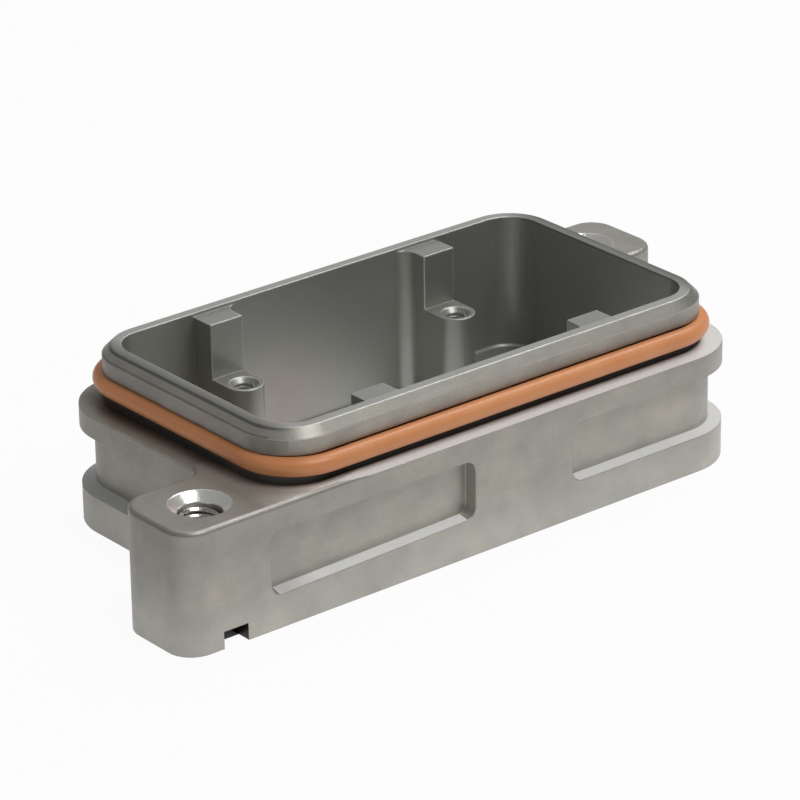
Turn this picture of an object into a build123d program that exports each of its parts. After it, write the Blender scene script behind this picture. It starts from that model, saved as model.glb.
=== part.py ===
from build123d import *
import os

# Driving dimensions in mm. X is the long axis, Z is up, the panel face is Z = 0.
body_x = 98.4               # length of both flanges
body_y = 56.4               # depth of both flanges and of the ears
body_r = 10.8               # plan radius of the flange corners
ledge_z = 20.5              # ledge that the mating hood closes on
rim_z = 29.3                # top of the collar

collar_x = 90.5
collar_y = 51.2
collar_r = 8.9
rim_chamfer = 1.5
rim_land = 1.7              # flat on top of the rim
cavity_r = 5.6
cavity_draft = 0.6          # degrees

floor_z = 5.9               # floors of the two wiring pockets
floor_bevel = 0.4
opening_x = 50.0            # cable opening between the end floors
lip_z = 4.1                 # height of the lip round the cable opening
lip_step = 0.9

ear_reach = 65.5            # centre to the outer end of an ear
ear_inner_y = 11.2          # side of an ear that faces the long centre line
ear_front_r = 4.4
ear_inner_r = 5.0
ear_root_r = 2.8
ear_hole_x = ear_reach - 9.4
ear_hole_y = body_y / 2 - 8.2

waist_low = 6.2
waist_high = 16.3
end_depth = 2.6             # depth of the groove at the ends
side_depth = 2.1            # and on the long sides
recess_corner_r = 2.0
recess_ear_z = 5.6          # lower ledge of a closed recess at its ear end
recess_rise = 0.3           # and how far it stands over the open groove at the pad
recess_draft = 10.0         # degrees
recess_fall = 0.4           # the groove's lower ledge falls this much outwards
pad_near = 9.0              # plain pad on a long side, distances from the centre
pad_far = 11.0

screw_pitch_x = 44.0        # fixing pattern of a six pole contact insert, M4
screw_pitch_y = 27.0
boss_width = 6.3
boss_z = 19.3
boss_tap_r = 1.65
boss_tap_depth = 12.0
boss_sink_r = 2.45
rib_gap = 35.6              # clear space between opposite ribs
rib_drop = 0.6              # rib tops lie this far below the rim
rib_root_r = 2.3

panel_pitch_x = 70.0
panel_pitch_y = 32.0
panel_hole_r = 2.25

ring_section = 3.1          # O-ring section diameter
ring_z = 23.55
ring_path_x = 90.0          # its centre line, fuller than the collar on the long sides
ring_path_y = 52.6
ring_path_r = 9.2
ring_side_clearance = 0.1   # groove wall to O-ring, each side

insert_bore_r = 3.5         # wire thread insert M6, 1.5 diameters long
insert_inner_r = 2.75
insert_length = 9.0
insert_inset = 0.2          # first turn below the bottom of the countersink
sink_r = 4.9
bore_depth = 13.5
notch_width = 4.6
notch_height = 2.85
notch_reach = 11.0

seal_path_x = 91.2          # centre line of the panel gasket
seal_path_y = 50.0
seal_path_r = 6.5
seal_groove_width = 3.0
seal_groove_depth = 2.0
seal_side_clearance = 0.1

ledge_edge_r = 0.8
ledge_fall = 0.5            # away from the ears the ledge falls this much outwards
ledge_fall_x = -29.0        # full fall starts here on the front side
ledge_fall_run = 9.0        # and fades out over this length
os.makedirs("parts", exist_ok=True)


def plate(length, depth, radius, low, high):
    """Rounded rectangle extruded between two heights."""
    outline = Plane.XY.offset(low) * RectangleRounded(length, depth, radius)
    return extrude(outline, high - low)


def block(x0, x1, y0, y1, z0, z1):
    return Pos((x0 + x1) / 2, (y0 + y1) / 2, (z0 + z1) / 2) * Box(x1 - x0, y1 - y0, z1 - z0)


def both_ends(shape):
    """The shape and its copy turned half a turn about Z."""
    return shape + Rot(0, 0, 180) * shape


def four_corners(pitch_x, pitch_y):
    return [(sx * pitch_x / 2, sy * pitch_y / 2) for sx in (-1, 1) for sy in (-1, 1)]


def ear_outline():
    """Front left ear, seen from above, rounded at its outer corners."""
    shape = make_face(Polyline(
        (-ear_reach, -body_y / 2),
        (-body_x / 2 + body_r + 4, -body_y / 2),
        (-body_x / 2 + body_r + 4, -ear_inner_y),
        (-ear_reach, -ear_inner_y),
        close=True,
    ))
    outer = shape.vertices().group_by(Axis.X)[0].sort_by(Axis.Y)
    shape = fillet(outer[0], ear_front_r)
    inner = [v for v in shape.vertices() if abs(v.X + ear_reach) < 0.01 and abs(v.Y + ear_inner_y) < 0.01]
    return fillet(inner, ear_inner_r)


def body_outline():
    """Flange outline with both ears."""
    outline = RectangleRounded(body_x, body_y, body_r) + ear_outline() + Rot(0, 0, 180) * ear_outline()
    roots = [
        v for v in outline.vertices()
        if abs(abs(v.X) - body_x / 2) < 0.01 and abs(abs(v.Y) - ear_inner_y) < 0.01
    ]
    return fillet(roots, ear_root_r)


def name_recess():
    """Closed recess beside an ear, drafted, its lower ledge falling towards the ear."""
    ear_end = -body_x / 2
    outline = make_face(Polyline(
        (ear_end, recess_ear_z),
        (-pad_near, waist_low + recess_rise),
        (-pad_near, waist_high),
        (ear_end, waist_high),
        close=True,
    ))
    outline = fillet(outline.vertices(), recess_corner_r)
    return extrude(Plane.XZ.offset(body_y / 2) * outline, -side_depth, taper=recess_draft)


def groove_window():
    """Front and end stretch of the groove that runs round a plain corner."""
    front = block(pad_far, body_x / 2 + 3, -body_y / 2 - 2, -1, waist_low, waist_high)
    corners = [e for e in front.edges().filter_by(Axis.Y) if abs(e.center().X - pad_far) < 0.01]
    front = fillet(corners, recess_corner_r)
    return front + block(body_x / 4, body_x / 2 + 3, -2, ear_inner_y - ear_root_r, waist_low, waist_high)


def slope(low, fall, inner):
    """Hill from the flange outline up to an inner outline, its sides falling outwards."""
    foot = Plane.XY.offset(low) * RectangleRounded(body_x, body_y, body_r)
    return loft([foot, Plane.XY.offset(low + fall) * inner])


def waist_cut():
    """Groove between the flanges, left out at the ears and at the plain pads."""
    waist = RectangleRounded(body_x - 2 * end_depth, body_y - 2 * side_depth, body_r - end_depth)
    band = plate(body_x + 8, body_y + 8, body_r, waist_low - 1, waist_high + 1)
    core = extrude(Plane.XY.offset(waist_low - 2) * waist, waist_high - waist_low + 4)
    groove = (band - core - slope(waist_low, recess_fall, waist)) & groove_window()
    return both_ends(name_recess() + groove)


def ledge_cut():
    """Lets the ledge fall outwards on the long sides and round the plain corners."""
    collar = RectangleRounded(collar_x, collar_y, collar_r)
    low = ledge_z - ledge_fall
    side_y = -collar_y / 2
    front_y = -body_y / 2
    sheet = plate(body_x + 6, body_y + 6, body_r, low, ledge_z + 1) - slope(low, ledge_fall, collar)
    front = block(ledge_fall_x, body_x / 2 + 3, front_y - 3, -1, low, ledge_z + 1)
    end = block(body_x / 4, body_x / 2 + 3, -2, ear_inner_y - ear_root_r, low, ledge_z + 1)
    fade = block(ledge_fall_x - ledge_fall_run, ledge_fall_x, front_y - 3, side_y, low - 1, ledge_z + 1)
    width = side_y - front_y
    upward = (width * ledge_fall, -ledge_fall_run * ledge_fall, width * ledge_fall_run)
    facet = Plane(origin=(ledge_fall_x, side_y, ledge_z), z_dir=upward)
    fade = split(fade, bisect_by=facet, keep=Keep.TOP)
    return both_ends((sheet & (front + end)) + fade)


def cavity_tool(bottom, edge=0.0):
    """Drafted inside of the collar, from above the rim down to a given height."""
    inset = rim_chamfer + rim_land
    top = Plane.XY.offset(rim_z) * RectangleRounded(collar_x - 2 * inset, collar_y - 2 * inset, cavity_r)
    tool = extrude(top, -(rim_z - bottom), taper=cavity_draft)
    if edge:
        tool = chamfer(tool.faces().sort_by(Axis.Z)[0].edges(), edge)
    return tool


def rib_and_boss():
    """Rib with its screw boss and flared root, at the back right corner."""
    x = screw_pitch_x / 2
    y = screw_pitch_y / 2
    half = boss_width / 2
    wall_y = collar_y / 2 - rim_chamfer
    rib_top = rim_z - rib_drop
    rib = block(x - half, x + half, rib_gap / 2, wall_y, 0, rib_top)
    boss = block(x - half, x + half, y, wall_y, 0, boss_z)
    nose = Pos(x, y, boss_z / 2) * Cylinder(half, boss_z)
    side = x - half
    root_y = wall_y - rim_land
    flare = block(side - rib_root_r, side, root_y - 2 * rib_root_r, wall_y, 0, rib_top)
    scoop = Cylinder(rib_root_r, 3 * rim_z) + block(-rib_root_r, rib_root_r, -rim_z, 0, -rim_z, rim_z)
    scoop = Pos(side - rib_root_r, root_y - rib_root_r, rim_z) * Rot(-cavity_draft, 0, 0) * scoop
    return rib + boss + nose + (flare - scoop)


def all_ribs():
    rib = rib_and_boss()
    ribs = rib + mirror(rib, Plane.YZ)
    return ribs + mirror(ribs, Plane.XZ)


def sunk_hole(x, y, top, depth, radius, mouth_r):
    """Hole from a face at the given height, with a 45 degree countersink."""
    sink = mouth_r - radius
    hole = Pos(x, y, top - depth / 2) * Cylinder(radius, depth)
    cone = Pos(x, y, top - sink / 2) * Cone(radius, mouth_r, sink)
    return hole + cone


def ear_cut():
    """Countersunk bore for the thread insert and the drain notch of each ear."""
    x = -ear_hole_x
    y = -ear_hole_y
    bore = sunk_hole(x, y, ledge_z, bore_depth, insert_bore_r, sink_r)
    notch = block(
        x - notch_width / 2, x + notch_width / 2,
        -body_y / 2 - 1, -body_y / 2 + notch_reach, -1, notch_height,
    )
    return both_ends(bore + notch)


def ring_groove():
    """Square groove whose bottom the O-ring touches all round."""
    section_r = ring_section / 2
    half = section_r + ring_side_clearance
    outside = plate(collar_x + 6, collar_y + 6, collar_r + 3, ring_z - half, ring_z + half)
    core = plate(
        ring_path_x - ring_section, ring_path_y - ring_section, ring_path_r - section_r,
        ring_z - half - 1, ring_z + half + 1,
    )
    return outside - core


def seal_groove():
    half = seal_groove_width / 2
    outer = plate(
        seal_path_x + 2 * half, seal_path_y + 2 * half, seal_path_r + half, -1, seal_groove_depth,
    )
    core = plate(
        seal_path_x - 2 * half, seal_path_y - 2 * half, seal_path_r - half,
        -2, seal_groove_depth + 1,
    )
    return outer - core


def housing():
    """The casting."""
    body = extrude(body_outline(), ledge_z)
    top_edges = body.faces().sort_by(Axis.Z)[-1].edges()
    body = fillet(top_edges, ledge_edge_r)
    body = body - waist_cut() - ledge_cut()
    collar = plate(collar_x, collar_y, collar_r, ledge_z - 1, rim_z)
    collar = chamfer(collar.faces().sort_by(Axis.Z)[-1].edges(), rim_chamfer)
    body = body + collar
    half = opening_x / 2
    centre = block(-half, half, -collar_y, collar_y, -1, rim_z + 1)
    body = body - cavity_tool(floor_z, floor_bevel)
    body = body - (cavity_tool(lip_z) & centre)
    lip_y = collar_y / 2 - rim_chamfer - rim_land - lip_step
    body = body - block(-half, half, -lip_y, lip_y, -1, lip_z + 0.5)
    body = body + all_ribs()
    for x, y in four_corners(screw_pitch_x, screw_pitch_y):
        body = body - sunk_hole(x, y, boss_z, boss_tap_depth, boss_tap_r, boss_sink_r)
    for x, y in four_corners(panel_pitch_x, panel_pitch_y):
        body = body - Pos(x, y, floor_z / 2) * Cylinder(panel_hole_r, floor_z + 1)
    body = body - ear_cut() - ring_groove() - seal_groove()
    return body


def collar_seal():
    start = Plane(origin=(0, -ring_path_y / 2, ring_z), x_dir=(0, 1, 0), z_dir=(1, 0, 0))
    path = Plane.XY.offset(ring_z) * RectangleRounded(ring_path_x, ring_path_y, ring_path_r)
    return sweep(start * Circle(ring_section / 2), path=path.wire())


def base_seal():
    """Flat gasket, level with the panel face."""
    half = seal_groove_width / 2 - seal_side_clearance
    long = seal_path_x + 2 * half
    short = seal_path_y + 2 * half
    outer = plate(long, short, seal_path_r + half, 0, seal_groove_depth)
    inner = plate(long - 4 * half, short - 4 * half, seal_path_r - half, -1, seal_groove_depth + 1)
    return outer - inner


def thread_insert(side):
    top = ledge_z - (sink_r - insert_bore_r) - insert_inset
    place = Pos(side * ear_hole_x, side * ear_hole_y, top - insert_length / 2)
    sleeve = Cylinder(insert_bore_r, insert_length) - Cylinder(insert_inner_r, insert_length)
    return place * sleeve


nodes = {
    "housing": housing(),
    "collar_seal": collar_seal(),
    "thread_insert_left": thread_insert(-1),
    "thread_insert_right": thread_insert(1),
    "base_seal": base_seal(),
}
for name, shape in nodes.items():
    export_step(shape, "parts/" + name + ".step")
    box = shape.bounding_box()
    print(name, round(box.size.X, 2), round(box.size.Y, 2), round(box.size.Z, 2), round(shape.volume))
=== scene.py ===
import math

import bmesh
import bpy
from mathutils import Matrix, Vector


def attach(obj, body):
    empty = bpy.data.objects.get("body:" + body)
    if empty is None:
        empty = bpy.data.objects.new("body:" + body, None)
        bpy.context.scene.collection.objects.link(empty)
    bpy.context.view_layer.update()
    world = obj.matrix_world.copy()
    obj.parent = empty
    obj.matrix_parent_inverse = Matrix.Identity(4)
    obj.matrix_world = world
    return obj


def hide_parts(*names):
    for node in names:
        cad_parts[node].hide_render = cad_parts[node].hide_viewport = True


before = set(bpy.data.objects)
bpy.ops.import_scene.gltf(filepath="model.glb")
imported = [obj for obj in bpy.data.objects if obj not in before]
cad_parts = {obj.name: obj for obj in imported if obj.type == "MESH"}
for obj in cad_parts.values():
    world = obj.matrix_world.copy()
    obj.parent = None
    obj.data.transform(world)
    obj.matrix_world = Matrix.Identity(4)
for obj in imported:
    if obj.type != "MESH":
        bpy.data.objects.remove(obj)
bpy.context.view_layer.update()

mm = 0.001
squareCorners = ((-1, -1), (1, -1), (1, 1), (-1, 1))
print("stage 1: frame loaded")


# small helpers for shader trees

def deg(angle):
    return math.radians(angle)


def newMaterial(name):
    material = bpy.data.materials.new(name)
    material.use_nodes = True
    tree = material.node_tree
    tree.nodes.clear()
    out = tree.nodes.new("ShaderNodeOutputMaterial")
    shader = tree.nodes.new("ShaderNodeBsdfPrincipled")
    tree.links.new(shader.outputs["BSDF"], out.inputs["Surface"])
    return material, tree, shader


def fillInput(tree, node, key, value):
    if isinstance(value, bpy.types.NodeSocket):
        tree.links.new(value, node.inputs[key])
    else:
        node.inputs[key].default_value = value


def addNode(tree, kind, settings=None, inputs=None):
    node = tree.nodes.new(kind)
    for key, value in (settings or {}).items():
        setattr(node, key, value)
    for key, value in (inputs or {}).items():
        fillInput(tree, node, key, value)
    return node


def mathNode(tree, operation, a, b=0.0, c=0.0):
    return addNode(tree, "ShaderNodeMath", {"operation": operation}, {0: a, 1: b, 2: c}).outputs[0]


def times(tree, first, *others):
    for factor in others:
        first = mathNode(tree, "MULTIPLY", first, factor)
    return first


def largest(tree, first, *others):
    for value in others:
        first = mathNode(tree, "MAXIMUM", first, value)
    return first


def above(tree, value, limit):
    return mathNode(tree, "GREATER_THAN", value, limit)


def below(tree, value, limit):
    return mathNode(tree, "LESS_THAN", value, limit)


def absolute(tree, value):
    return mathNode(tree, "ABSOLUTE", value)


def blendTo(tree, share, value, target):
    return mathNode(tree, "MULTIPLY_ADD", share, mathNode(tree, "SUBTRACT", target, value), value)


def lengthOf(tree, a, b):
    squares = mathNode(tree, "ADD", times(tree, a, a), times(tree, b, b))
    return mathNode(tree, "SQRT", squares)


def vectorNode(tree, operation, inputs, output="Vector"):
    return addNode(tree, "ShaderNodeVectorMath", {"operation": operation}, inputs).outputs[output]


def splitVector(tree, vector):
    return list(addNode(tree, "ShaderNodeSeparateXYZ", None, {0: vector}).outputs)


def objectCoords(tree):
    return addNode(tree, "ShaderNodeTexCoord").outputs["Object"]


def noiseNode(tree, vector, scale, detail, roughness):
    return addNode(tree, "ShaderNodeTexNoise", None, {
        "Vector": vector, "Scale": scale, "Detail": detail, "Roughness": roughness,
    }).outputs["Fac"]


def rangeNode(tree, value, fromMin, fromMax, toMin, toMax):
    return addNode(tree, "ShaderNodeMapRange", None, {
        "Value": value, "From Min": fromMin, "From Max": fromMax, "To Min": toMin, "To Max": toMax,
    }).outputs["Result"]


def mixColour(tree, share, a, b):
    node = addNode(tree, "ShaderNodeMix", {"data_type": "RGBA"})
    for key, value in ((0, share), (6, a), (7, b)):
        fillInput(tree, node, key, value)
    return node.outputs[2]


def stretched(tree, coords, scale, turn=(0.0, 0.0, 0.0)):
    return addNode(tree, "ShaderNodeMapping", None, {
        "Vector": coords, "Scale": scale, "Rotation": [deg(a) for a in turn],
    }).outputs["Vector"]


def grainNormal(tree, shader, height, depth, normal=None):
    inputs = {"Height": height, "Distance": depth, "Strength": 1.0}
    if normal is not None:
        inputs["Normal"] = normal
    bump = addNode(tree, "ShaderNodeBump", None, inputs)
    tree.links.new(bump.outputs["Normal"], shader.inputs["Normal"])


def wear(obj, material):
    obj.data.materials.clear()
    obj.data.materials.append(material)


# cast alloy of the housing

castAlloy = {
    "colour": (0.505, 0.477, 0.42, 1.0),
    "coolColour": (0.44, 0.43, 0.39, 1.0),
    "darkColour": (0.32, 0.31, 0.275, 1.0),
    # painted shade of the inside
    "insideShadeColour": (0.40, 0.41, 0.375, 1.0),
    "warmColour": (0.48, 0.435, 0.395, 1.0),
    # painted shade and shadow: in the corners, under the ring and in the notches
    "paintedShadowColour": (0.02, 0.016, 0.013, 1.0),
    "shadeColour": (0.10, 0.092, 0.078, 1.0),
    "ledgeHighlightColour": (0.96, 0.945, 0.91, 1.0),
    "ledgeGlintColour": (1.0, 1.0, 0.98, 1.0),
    "edgeColour": (0.95, 0.94, 0.90, 1.0),
    "metallic": (0.62, 0.05),  # plain faces, blasted ledges
    "roughness": (0.33, 0.46),
    "roughBand": (0.3, 0.7),
    "ledgeRoughness": 0.5,
    "sinkRoughness": 0.2,
    # scale, detail and roughness of each noise
    "mottle": (95.0, 5.0, 0.6),
    "patches": (220.0, 4.0, 0.6),
    "grain": (2600.0, 3.0, 0.6),
    "fine": (7500.0, 2.0, 0.5),
    "streaks": (1.0, 3.0, 0.6),
    "streakStretch": (90.0, 90.0, 1500.0),
    "streakTurn": (0.0, 14.0, 0.0),
    "mottleBand": (0.35, 0.65),
    # from, to and share of the dark colour
    "patchesDark": (0.38, 0.6, 0.3),
    "grainDark": (0.25, 0.45, 0.35),
    "streaksDark": (0.3, 0.52, 0.14),
    "fineShare": 0.5,
    "grainBump": 0.00003,
    # the collar's half sizes and corner radius, and where outside and inside begin from its outline
    "collar": (45.25 * mm, 25.6 * mm, 8.9 * mm),
    "outsideFrom": -0.3 * mm,
    "insideFrom": -1.5 * mm,
    "leftEnd": (-40.0 * mm, -45.0 * mm),
    "sideSlope": 0.5,
    # painted warm reflection low on the left of the inside
    "warmReflectionHeight": (22.0 * mm, 12.0 * mm),
    "warmReflectionReach": (-6.0 * mm, 8.0 * mm),
    "warmReflectionShare": 0.9,
    # blasted strips, the front of the ledge and the sills of the recesses, painted near white as a painted
    # highlight with painted glints
    "recessSlope": (0.96, 0.9946),  # upward share of the normals there
    "recessTop": 15.0 * mm,
    "ledgeTop": (19.8 * mm, 20.6 * mm),
    "ledgeStart": (-50.0 * mm, -33.0 * mm),
    "ledgeSides": (49.3 * mm, 28.3 * mm),
    "ledgeFade": (0.0, 12.0 * mm),
    "ledgeTilt": 0.7,
    "glintBand": (0.4, 0.6),
    # edges that hands reach, worn paler and painted as a highlight along the edges
    "edgeRadius": 0.35 * mm,
    "edgeSamples": 6,
    "edgeBend": (0.9995, 0.93),
    "wornEdgeHighlightFrom": 18.6 * mm,
    "wornEdgeHighlightCorner": (0.55, 0.8),
    "wornEdgeHighlightStreaks": (0.3, 0.6, 0.55),
    # ground top of the rim, with painted shade on its chamfer and on its ends
    "landFrom": 29.0 * mm,
    "landSlope": 0.99,
    "landShare": 0.2,
    "chamferFrom": 27.7 * mm,
    "chamferSlope": (0.4, 0.9),
    "chamferInner": -1.6 * mm,
    "chamferStart": (-44.0 * mm, -40.0 * mm),
    "chamferShare": 0.22,
    "rimFrom": 28.9 * mm,
    "rimEnds": (40.0 * mm, 43.5 * mm),
    "rimShare": 0.72,
    # painted light: the foot of the outer faces is paler
    "footHeights": (3.0 * mm, 9.0 * mm),
    "footShare": 0.12,
    # painted shade in the corners
    "cornerShadeReach": 3.0 * mm,
    "cornerShadeSamples": 8,
    "cornerShadeBand": (0.15, 0.5),
    "cornerShadeShare": 0.8,
    # painted shadow: black line under the ring
    "gapDepth": (0.1 * mm, 0.5 * mm),
    "gapTop": (22.6 * mm, 24.0 * mm),
    "gapLeft": (-36.0 * mm, -43.0 * mm),
    "gapLeftShare": 0.7,
    "ledgeFloor": 19.0 * mm,
    # shade on the collar over the ring, on the front and on the left
    "shadeTop": (24.5 * mm, 28.0 * mm),
    "shadeShare": (0.6, 0.9),
    "shadeMottle": (0.35, 0.6, 0.6),
    "leftFacing": -0.6,
    "leftWallShare": 0.45,
    # shade on the left ledge, away from the ear
    "leftLedge": (0.6 * mm, 4.5 * mm),
    "leftLedgeShare": (0.9, 0.1),
    "leftLedgeStart": (-18.0 * mm, -8.0 * mm),
    # painted shade on the faces of the left end, its top, and on the upper flange all round
    "sideHeights": (4.0 * mm, 18.0 * mm),
    "sideShare": (0.05, 0.36),
    "topShare": 0.15,
    "frontTurn": (-0.98, -0.3),
    "flangeHeights": (9.0 * mm, 18.0 * mm),
    "flangeShare": 0.1,
    # painted shadow on the sides of the drain notches
    "notchTop": 2.9 * mm,
    "notchFront": 28.15 * mm,
    "notchSpan": (49.6 * mm, 60.0 * mm),
    "notchSide": 0.9,
    # countersinks of the ears
    "earHole": (56.1 * mm, 20.0 * mm),
    "sinkRadius": 4.95 * mm,
    "sinkBottom": 18.9 * mm,
    "sinkSlope": 0.9,
}


def placesOnCasting(tree, v):
    # where a point lies on the casting and which way its face looks
    at = {"coords": objectCoords(tree)}
    at["x"], at["y"], at["z"] = splitVector(tree, at["coords"])
    at["facing"] = addNode(tree, "ShaderNodeNewGeometry").outputs["True Normal"]
    at["sideways"], at["forward"], at["upward"] = splitVector(tree, at["facing"])
    # distance from the collar's outer outline, less than nothing inside it
    halfX, halfY, corner = v["collar"]
    pastX = mathNode(tree, "SUBTRACT", absolute(tree, at["x"]), halfX - corner)
    pastY = mathNode(tree, "SUBTRACT", absolute(tree, at["y"]), halfY - corner)
    at["outX"], at["outY"] = largest(tree, pastX, 0.0), largest(tree, pastY, 0.0)
    within = mathNode(tree, "MINIMUM", largest(tree, pastX, pastY), 0.0)
    away = mathNode(tree, "ADD", lengthOf(tree, at["outX"], at["outY"]), within)
    at["wall"] = mathNode(tree, "SUBTRACT", away, corner)
    at["outside"] = above(tree, at["wall"], v["outsideFrom"])
    at["leftEnd"] = rangeNode(tree, at["x"], *v["leftEnd"], 0.0, 1.0)
    return at


def castNoise(tree, v, coords):
    noise = {name: noiseNode(tree, coords, *v[name]) for name in ("mottle", "patches", "grain", "fine")}
    drawn = stretched(tree, coords, v["streakStretch"], v["streakTurn"])
    noise["streaks"] = noiseNode(tree, drawn, *v["streaks"])
    return noise


def castGround(tree, v, at, noise):
    # mottled grey with dark patches, grain and faint streaks
    mottled = rangeNode(tree, noise["mottle"], *v["mottleBand"], 0.0, 1.0)
    base = mixColour(tree, mottled, v["colour"], v["coolColour"])
    for name in ("patches", "grain", "streaks"):
        low, high, share = v[name + "Dark"]
        base = mixColour(tree, rangeNode(tree, noise[name], low, high, share, 0.0), base, v["darkColour"])
    # painted shade: the inside is darker and cooler, with the painted warm reflection
    warmReflection = times(tree, rangeNode(tree, at["z"], *v["warmReflectionHeight"], 0.0, 1.0),
                  rangeNode(tree, at["x"], *v["warmReflectionReach"], v["warmReflectionShare"], 0.0))
    inside = mixColour(tree, warmReflection, v["insideShadeColour"], v["warmColour"])
    return mixColour(tree, below(tree, at["wall"], v["insideFrom"]), base, inside)


def ledgeMask(tree, v, at):
    steep, level = v["recessSlope"]
    sloped = above(tree, at["upward"], steep)
    recess = times(tree, sloped, below(tree, at["upward"], level), below(tree, at["z"], v["recessTop"]))
    low, high = v["ledgeTop"]
    ledge = times(tree, sloped, above(tree, at["z"], low), below(tree, at["z"], high), at["outside"],
                  rangeNode(tree, at["x"], *v["ledgeStart"], 0.0, 1.0),
                  rangeNode(tree, at["y"], *v["ledgeFade"], 1.0, 0.0))
    for along, limit in zip((at["x"], at["y"]), v["ledgeSides"]):
        ledge = times(tree, ledge, below(tree, absolute(tree, along), limit))
    return largest(tree, ledge, recess)


def wornEdgeHighlightMask(tree, v, at, edge, corner, streaks):
    # worn edges, also a painted highlight along the edges
    bend = vectorNode(tree, "DOT_PRODUCT", {0: edge, 1: at["facing"]}, "Value")
    low, high, least = v["wornEdgeHighlightStreaks"]
    return times(tree, rangeNode(tree, bend, *v["edgeBend"], 0.0, 1.0),
                 rangeNode(tree, corner, *v["wornEdgeHighlightCorner"], 0.0, 1.0),
                 rangeNode(tree, streaks, low, high, least, 1.0),
                 above(tree, at["z"], v["wornEdgeHighlightFrom"]))


def dressRim(tree, v, at, base):
    land = times(tree, above(tree, at["z"], v["landFrom"]), above(tree, at["upward"], v["landSlope"]),
                 v["landShare"])
    base = mixColour(tree, land, base, v["edgeColour"])
    # painted shade on the chamfer, left out at the left end
    low, high = v["chamferSlope"]
    chamfer = times(tree, above(tree, at["z"], v["chamferFrom"]),
                    above(tree, at["upward"], low), below(tree, at["upward"], high),
                    above(tree, at["wall"], v["chamferInner"]),
                    rangeNode(tree, at["x"], *v["chamferStart"], 0.0, v["chamferShare"]))
    return mixColour(tree, chamfer, base, v["shadeColour"])


def shadeMask(tree, v, at, mottle):
    # painted shade over the ring, on the left wall and ledge, on the faces of the left end and on the
    # upper flange
    z = at["z"]
    ringTop = v["gapTop"][0]
    overRing = above(tree, z, ringTop)
    low, high, least = v["shadeMottle"]
    collar = times(tree, overRing, rangeNode(tree, z, *v["shadeTop"], 1.0, 0.0),
                   rangeNode(tree, at["leftEnd"], 0.0, 1.0, *v["shadeShare"]),
                   rangeNode(tree, mottle, low, high, least, 1.0))
    leftWall = times(tree, overRing, below(tree, at["sideways"], v["leftFacing"]), v["leftWallShare"])
    leftLedge = times(tree, rangeNode(tree, at["wall"], *v["leftLedge"], *v["leftLedgeShare"]),
                      rangeNode(tree, at["y"], *v["leftLedgeStart"], 0.0, 1.0), at["leftEnd"],
                      above(tree, z, v["ledgeFloor"]), below(tree, z, ringTop))
    side = below(tree, at["upward"], v["sideSlope"])
    sideShare = rangeNode(tree, z, *v["sideHeights"], *v["sideShare"])
    leftFaces = times(tree, blendTo(tree, side, v["topShare"], sideShare), at["leftEnd"],
                      rangeNode(tree, at["forward"], *v["frontTurn"], 0.0, 1.0))
    flange = times(tree, side, rangeNode(tree, z, *v["flangeHeights"], 0.0, v["flangeShare"]))
    outer = times(tree, largest(tree, collar, leftWall, leftLedge, leftFaces, flange), at["outside"])
    # painted shade on the ends of the rim top
    rimEnds = times(tree, rangeNode(tree, absolute(tree, at["x"]), *v["rimEnds"], 0.0, v["rimShare"]),
                    above(tree, z, v["rimFrom"]))
    return largest(tree, outer, rimEnds)


def gapShadowMask(tree, v, at):
    # painted shadow: nearly black under the ring and on the sides of the drain notches
    z = at["z"]
    underRing = times(tree, rangeNode(tree, at["wall"], *v["gapDepth"], 1.0, 0.0),
                      rangeNode(tree, z, *v["gapTop"], 1.0, 0.0), at["outside"],
                      above(tree, z, v["ledgeFloor"]),
                      rangeNode(tree, at["x"], *v["gapLeft"], 1.0, v["gapLeftShare"]))
    across = absolute(tree, at["x"])
    near, far = v["notchSpan"]
    notch = times(tree, below(tree, z, v["notchTop"]), above(tree, across, near), below(tree, across, far),
                  below(tree, absolute(tree, at["y"]), v["notchFront"]),
                  above(tree, absolute(tree, at["sideways"]), v["notchSide"]))
    return largest(tree, underRing, notch)


def sinkMask(tree, v, at):
    dx, dy = (mathNode(tree, "SUBTRACT", absolute(tree, along), centre)
              for along, centre in zip((at["x"], at["y"]), v["earHole"]))
    return times(tree, below(tree, lengthOf(tree, dx, dy), v["sinkRadius"]),
                 above(tree, at["z"], v["sinkBottom"]), below(tree, at["upward"], v["sinkSlope"]))


def leaningNormal(tree, v, at, edge, ledge):
    # the blasted strips are shaded as if they leaned outwards by about 35 degrees
    outward = addNode(tree, "ShaderNodeCombineXYZ", None, {
        "X": times(tree, at["outX"], mathNode(tree, "SIGN", at["x"])),
        "Y": times(tree, at["outY"], mathNode(tree, "SIGN", at["y"])),
    }).outputs[0]
    outward = vectorNode(tree, "NORMALIZE", {0: outward})
    outward = vectorNode(tree, "SCALE", {0: outward, "Scale": times(tree, ledge, v["ledgeTilt"])})
    return vectorNode(tree, "NORMALIZE", {0: vectorNode(tree, "ADD", {0: edge, 1: outward})})


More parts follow.
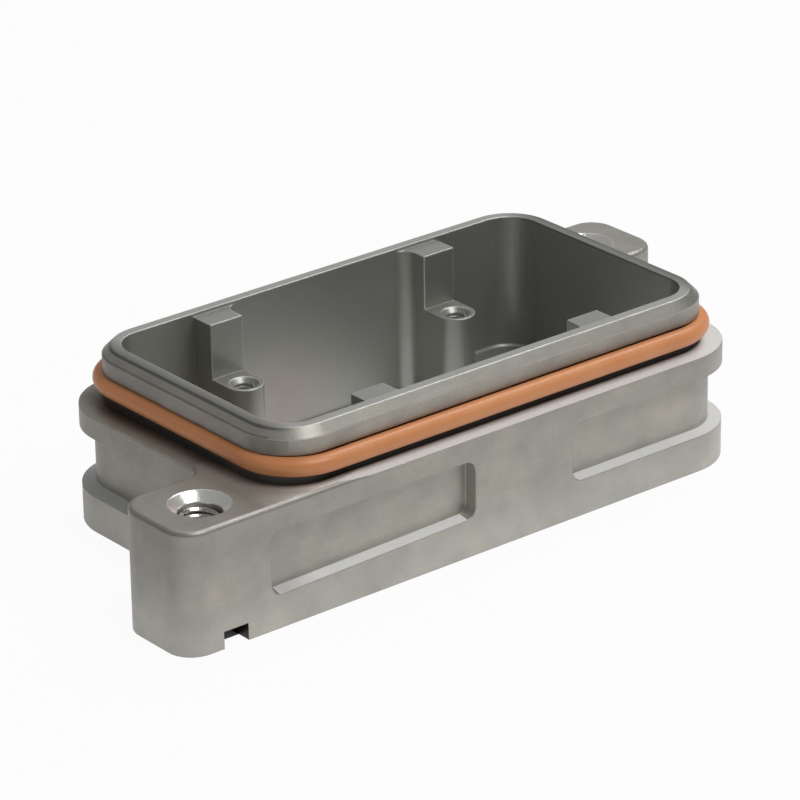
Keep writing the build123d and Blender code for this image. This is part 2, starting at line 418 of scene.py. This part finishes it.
def makeCastAlloy():
    v = castAlloy
    material, tree, shader = newMaterial("castAlloy")
    at = placesOnCasting(tree, v)
    noise = castNoise(tree, v, at["coords"])
    edge = addNode(tree, "ShaderNodeBevel", {"samples": v["edgeSamples"]},
                   {"Radius": v["edgeRadius"]}).outputs["Normal"]
    # ambient occlusion for the painted shade in the corners
    corner = addNode(tree, "ShaderNodeAmbientOcclusion", {"samples": v["cornerShadeSamples"]},
                     {"Distance": v["cornerShadeReach"]}).outputs["AO"]
    ledge, sink = ledgeMask(tree, v, at), sinkMask(tree, v, at)
    # painted highlight on the blasted strips, with painted glints from the grain
    glints = rangeNode(tree, noise["grain"], *v["glintBand"], 0.0, 1.0)
    stripHighlight = mixColour(tree, glints, v["ledgeHighlightColour"], v["ledgeGlintColour"])
    base = mixColour(tree, ledge, castGround(tree, v, at, noise), stripHighlight)
    base = dressRim(tree, v, at, base)
    # painted light: paler towards the foot of the outer faces
    foot = times(tree, rangeNode(tree, at["z"], *v["footHeights"], v["footShare"], 0.0), at["outside"])
    layers = (
        (wornEdgeHighlightMask(tree, v, at, edge, corner, noise["streaks"]), "edgeColour"),
        (foot, "edgeColour"),
        (rangeNode(tree, corner, *v["cornerShadeBand"], v["cornerShadeShare"], 0.0), "paintedShadowColour"),
        (shadeMask(tree, v, at, noise["mottle"]), "shadeColour"),
        (gapShadowMask(tree, v, at), "paintedShadowColour"),
        (sink, "edgeColour"),
    )
    for mask, colour in layers:
        base = mixColour(tree, mask, base, v[colour])
    tree.links.new(base, shader.inputs["Base Color"])
    rough = rangeNode(tree, noise["mottle"], *v["roughBand"], *v["roughness"])
    rough = blendTo(tree, ledge, rough, v["ledgeRoughness"])
    rough = blendTo(tree, sink, rough, v["sinkRoughness"])
    tree.links.new(rough, shader.inputs["Roughness"])
    tree.links.new(rangeNode(tree, ledge, 0.0, 1.0, *v["metallic"]), shader.inputs["Metallic"])
    height = mathNode(tree, "MULTIPLY_ADD", noise["fine"], v["fineShare"], noise["grain"])
    grainNormal(tree, shader, height, v["grainBump"], leaningNormal(tree, v, at, edge, ledge))
    return material


castMetal = makeCastAlloy()
wear(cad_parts["housing"], castMetal)
print("stage 2: housing dressed")


# silicone of the O-ring and of the panel gasket

silicone = {
    "colour": (0.82, 0.325, 0.13, 1.0),
    "paleColour": (0.87, 0.37, 0.155, 1.0),
    "roughness": (0.30, 0.38),
    "specular": 0.45,
    "mottle": (140.0, 4.0, 0.6),
    "grain": (4200.0, 2.0, 0.5),
    "colourBand": (0.35, 0.65),
    "roughBand": (0.3, 0.7),
    "grainBump": 0.00001,
}


def makeSilicone():
    v = silicone
    material, tree, shader = newMaterial("siliconeOrange")
    coords = objectCoords(tree)
    mottle, grain = noiseNode(tree, coords, *v["mottle"]), noiseNode(tree, coords, *v["grain"])
    pale = rangeNode(tree, mottle, *v["colourBand"], 0.0, 1.0)
    base = mixColour(tree, pale, v["colour"], v["paleColour"])
    tree.links.new(base, shader.inputs["Base Color"])
    tree.links.new(rangeNode(tree, mottle, *v["roughBand"], *v["roughness"]), shader.inputs["Roughness"])
    shader.inputs["Specular IOR Level"].default_value = v["specular"]
    grainNormal(tree, shader, grain, v["grainBump"])
    return material


siliconeOrange = makeSilicone()
wear(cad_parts["collar_seal"], siliconeOrange)
wear(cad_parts["base_seal"], siliconeOrange)
print("stage 3: seals dressed")


# wire thread inserts of the ears

insertWire = {
    "colours": ((0.55, 0.54, 0.51, 1.0), (0.70, 0.69, 0.66, 1.0)),
    "drawn": (1.0, 3.0, 0.6),
    "drawnStretch": (1500.0, 1500.0, 9000.0),
    "roughBand": (0.3, 0.7),
    "roughness": (0.16, 0.3),
    "drawnBump": 0.000006,
}


def makeInsertWire():
    v = insertWire
    material, tree, shader = newMaterial("insertWire")
    drawn = noiseNode(tree, stretched(tree, objectCoords(tree), v["drawnStretch"]), *v["drawn"])
    tree.links.new(mixColour(tree, drawn, *v["colours"]), shader.inputs["Base Color"])
    tree.links.new(rangeNode(tree, drawn, *v["roughBand"], *v["roughness"]), shader.inputs["Roughness"])
    shader.inputs["Metallic"].default_value = 1.0
    grainNormal(tree, shader, drawn, v["drawnBump"])
    return material


def windDown(name, centre, profile, startAngle, top, length, v):
    # each step of the helix carries one section: radius and height of its points
    steps = int(length / v["pitch"] * v["stepsPerTurn"])
    mesh = bmesh.new()
    rings = []
    for i in range(steps + 1):
        angle = deg(startAngle) - 2 * math.pi * i / v["stepsPerTurn"]
        z = top - v["pitch"] * i / v["stepsPerTurn"]
        rings.append([
            mesh.verts.new((centre[0] + r * math.cos(angle), centre[1] + r * math.sin(angle), z + dz))
            for r, dz in profile
        ])
    count = len(profile)
    for a, b in zip(rings, rings[1:]):
        for k in range(count):
            mesh.faces.new((a[k], a[(k + 1) % count], b[(k + 1) % count], b[k]))
    mesh.faces.new(list(reversed(rings[0])))
    mesh.faces.new(rings[-1])
    bmesh.ops.recalc_face_normals(mesh, faces=mesh.faces)
    return meshObject(name, mesh)


def meshObject(name, mesh):
    data = bpy.data.meshes.new(name)
    mesh.to_mesh(data)
    mesh.free()
    obj = bpy.data.objects.new(name, data)
    bpy.context.scene.collection.objects.link(obj)
    return obj


threadInsert = {
    "pitch": 1.0 * mm,
    "outer": 3.5 * mm,
    "inner": 2.5 * mm,
    "top": 18.9 * mm,
    "length": 9.0 * mm,
    "wireHalf": 0.46 * mm,
    "noseShare": 0.12,  # flat on the diamond's nose
    "innerShare": 0.86,  # the inner nose stands back to this share of its reach
    "softEdge": (0.05 * mm, 2, 30.0),  # width, segments, sharpest angle left alone
    "startAngle": {"left": 200.0, "right": 380.0},
    "stepsPerTurn": 48,
    "holes": {"left": (-56.1 * mm, -20.0 * mm), "right": (56.1 * mm, 20.0 * mm)},
}


def windCoil(side):
    # wire of diamond section
    v = threadInsert
    half, nose = v["wireHalf"], v["wireHalf"] * v["noseShare"]
    middle, reach = (v["outer"] + v["inner"]) / 2, (v["outer"] - v["inner"]) / 2
    innermost = middle - reach * v["innerShare"]
    outermost = middle + reach
    profile = (
        (outermost, nose), (middle, half), (innermost, nose),
        (innermost, -nose), (middle, -half), (outermost, -nose),
    )
    obj = windDown("coil_" + side, v["holes"][side], profile, v["startAngle"][side],
                   v["top"] - half, v["length"] - 2 * half, v)
    width, segments, sharpest = v["softEdge"]
    bevel = obj.modifiers.new("soften", "BEVEL")
    bevel.width = width
    bevel.segments = segments
    bevel.limit_method = "ANGLE"
    bevel.angle_limit = deg(sharpest)
    return obj


# M4 thread of the four bosses for the contact insert

bossThread = {
    "pitch": 0.7 * mm,
    "outer": 1.66 * mm,
    "inner": 1.45 * mm,
    "top": 18.4 * mm,
    "length": 8.0 * mm,
    "flankShare": 0.42,
    "stepsPerTurn": 36,
    "hole": (22.0 * mm, 13.5 * mm),
}


def cutThread(number, corner):
    # a ridge of three sides that winds down the bore
    v = bossThread
    flank = v["pitch"] * v["flankShare"]
    profile = ((v["outer"], flank), (v["inner"], 0.0), (v["outer"], -flank))
    centre = (corner[0] * v["hole"][0], corner[1] * v["hole"][1])
    return windDown("boss_thread_" + str(number), centre, profile, 0.0, v["top"], v["length"], v)


wireSteel = makeInsertWire()
for side in threadInsert["holes"]:
    coil = windCoil(side)
    wear(coil, wireSteel)
    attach(coil, "root")
    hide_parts("thread_insert_" + side)
for number, corner in enumerate(squareCorners, 1):
    ridge = cutThread(number, corner)
    wear(ridge, castMetal)
    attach(ridge, "root")
print("stage 4: threads wound")


# floor, light and camera

studio = {
    "floorSize": 6.0,
    "floorHeight": -0.1 * mm,
    "paper": (0.8, 0.8, 0.8, 1.0),
    "white": (1.0, 1.0, 1.0, 1.0),
    "seenShare": 0.95,
    "worldStrength": 0.2,
    "floorGlow": (1.0, 0.6),  # how bright the table looks in the metal, close by and further out
    "glowReach": 60.0 * mm,
    "backGlow": 0.45,  # share of it left behind the housing
    "backEdge": (30.0 * mm, -30.0 * mm),
    "holeGlow": 0.75,
    "body": (49.0 * mm, 28.0 * mm),
    "hole": (25.0 * mm, 21.0 * mm),
    # half sizes of three boxes under the housing, the last one for the ears
    "footprint": ((38.0 * mm, 27.0 * mm), (48.0 * mm, 17.0 * mm), (62.5 * mm, 25.5 * mm)),
    "earStart": (30.0 * mm, 12.5 * mm),
    "lampDistance": 1.2,
    "lamps": [
        # name, azimuth, elevation, size, power
        ("frontLamp", 20.0, 60.0, 0.6, 5.2),
        ("sideLamp", 98.0, 54.0, 0.45, 2.6),
        ("backLamp", 135.0, 60.0, 0.6, 1.2),
        ("lowLamp", 142.0, 24.0, 0.6, 0.3),
    ],
}


def insideBox(tree, alongX, alongY, halfSizes):
    return times(tree, below(tree, alongX, halfSizes[0]), below(tree, alongY, halfSizes[1]))


def tableMasks(tree, v):
    # how bright the table looks in the metal, and where it lies free of the housing
    x, y, _ = splitVector(tree, objectCoords(tree))
    acrossX, acrossY = absolute(tree, x), absolute(tree, y)
    earX = times(tree, x, mathNode(tree, "SIGN", y))
    long, wide, ears = v["footprint"]
    earStart = times(tree, above(tree, earX, v["earStart"][0]), above(tree, acrossY, v["earStart"][1]))
    under = largest(tree, insideBox(tree, acrossX, acrossY, long), insideBox(tree, acrossX, acrossY, wide),
                    times(tree, insideBox(tree, earX, acrossY, ears), earStart))
    free = mathNode(tree, "SUBTRACT", 1.0, under)
    # painted light: brightest close to the housing and in front of it, dimmer behind it as painted shade,
    # with painted light up through the hole
    away = largest(tree, mathNode(tree, "SUBTRACT", acrossX, v["body"][0]),
                   mathNode(tree, "SUBTRACT", acrossY, v["body"][1]))
    tableGlow = times(tree, rangeNode(tree, away, 0.0, v["glowReach"], *v["floorGlow"]),
                      rangeNode(tree, y, *v["backEdge"], v["backGlow"], 1.0), free)
    hole = insideBox(tree, acrossX, acrossY, v["hole"])
    return mathNode(tree, "MULTIPLY_ADD", hole, v["holeGlow"], tableGlow), free


def makePaper():
    v = studio
    material = bpy.data.materials.new("floorPaper")
    material.use_nodes = True
    tree = material.node_tree
    tree.nodes.clear()
    out = tree.nodes.new("ShaderNodeOutputMaterial")
    paper = addNode(tree, "ShaderNodeBsdfDiffuse", None, {"Color": v["paper"]})
    glow = addNode(tree, "ShaderNodeEmission", None, {"Color": v["white"], "Strength": 1.0})
    tableGlow, free = tableMasks(tree, v)
    path = addNode(tree, "ShaderNodeLightPath").outputs
    seen = largest(tree, path["Is Camera Ray"], path["Is Transmission Ray"])
    seen = times(tree, seen, v["seenShare"], free)
    seen = largest(tree, seen, times(tree, path["Is Glossy Ray"], tableGlow))
    mix = addNode(tree, "ShaderNodeMixShader", None, {0: seen, 1: paper.outputs[0], 2: glow.outputs[0]})
    tree.links.new(mix.outputs[0], out.inputs["Surface"])
    return material


def makeFloor():
    mesh = bmesh.new()
    half, height = studio["floorSize"] / 2, studio["floorHeight"]
    mesh.faces.new([mesh.verts.new((x * half, y * half, height)) for x, y in squareCorners])
    floor = meshObject("floor", mesh)
    wear(floor, makePaper())


def makeWorld():
    world = bpy.data.worlds.new("studio")
    bpy.context.scene.world = world
    world.use_nodes = True
    tree = world.node_tree
    tree.nodes.clear()
    out = tree.nodes.new("ShaderNodeOutputWorld")
    room, white = (
        addNode(tree, "ShaderNodeBackground", None, {"Color": studio["white"], "Strength": strength})
        for strength in (studio["worldStrength"], 1.0)
    )
    path = addNode(tree, "ShaderNodeLightPath").outputs
    mix = addNode(tree, "ShaderNodeMixShader", None, {
        0: path["Is Camera Ray"], 1: room.outputs[0], 2: white.outputs[0],
    })
    tree.links.new(mix.outputs[0], out.inputs["Surface"])


def direction(azimuth, elevation):
    a, e = deg(azimuth), deg(elevation)
    return Vector((math.sin(a) * math.cos(e), -math.cos(a) * math.cos(e), math.sin(e)))


def hangLamp(name, azimuth, elevation, size, power):
    lamp = bpy.data.lights.new(name, "AREA")
    lamp.shape = "SQUARE"
    lamp.size = size
    lamp.energy = power
    obj = bpy.data.objects.new(name, lamp)
    towards = direction(azimuth, elevation)
    place = Matrix.Translation(towards * studio["lampDistance"])
    obj.matrix_world = place @ towards.to_track_quat("Z", "Y").to_matrix().to_4x4()
    bpy.context.scene.collection.objects.link(obj)


cameraView = {
    "azimuth": -38.981,
    "elevation": 23.879,
    "roll": -0.87,
    "lens": 199.59,
    "sensor": 36.0,
    "nearest": 0.01,
    "distance": 713.03 * mm,
    "aim": (0.0, 0.0, 12.0 * mm),
    "slide": (-0.85 * mm, 2.18 * mm),
}


def placeCamera():
    v = cameraView
    a, roll = deg(v["azimuth"]), deg(v["roll"])
    back = direction(v["azimuth"], v["elevation"])
    right = Vector((math.cos(a), math.sin(a), 0.0))
    up = back.cross(right)
    place = Vector(v["aim"]) + right * v["slide"][0] + up * v["slide"][1] + back * v["distance"]
    turnedRight = right * math.cos(roll) + up * math.sin(roll)
    turnedUp = up * math.cos(roll) - right * math.sin(roll)
    camera = bpy.data.cameras.new("camera")
    camera.sensor_width = v["sensor"]
    camera.lens = v["lens"]
    camera.clip_start = v["nearest"]
    obj = bpy.data.objects.new("camera", camera)
    columns = Matrix((turnedRight, turnedUp, back)).transposed()
    obj.matrix_world = Matrix.Translation(place) @ columns.to_4x4()
    bpy.context.scene.collection.objects.link(obj)
    bpy.context.scene.camera = obj


makeFloor()
makeWorld()
for lamp in studio["lamps"]:
    hangLamp(*lamp)
placeCamera()
bpy.context.scene.view_settings.view_transform = "Standard"
print("stage 5: floor, light and camera set")
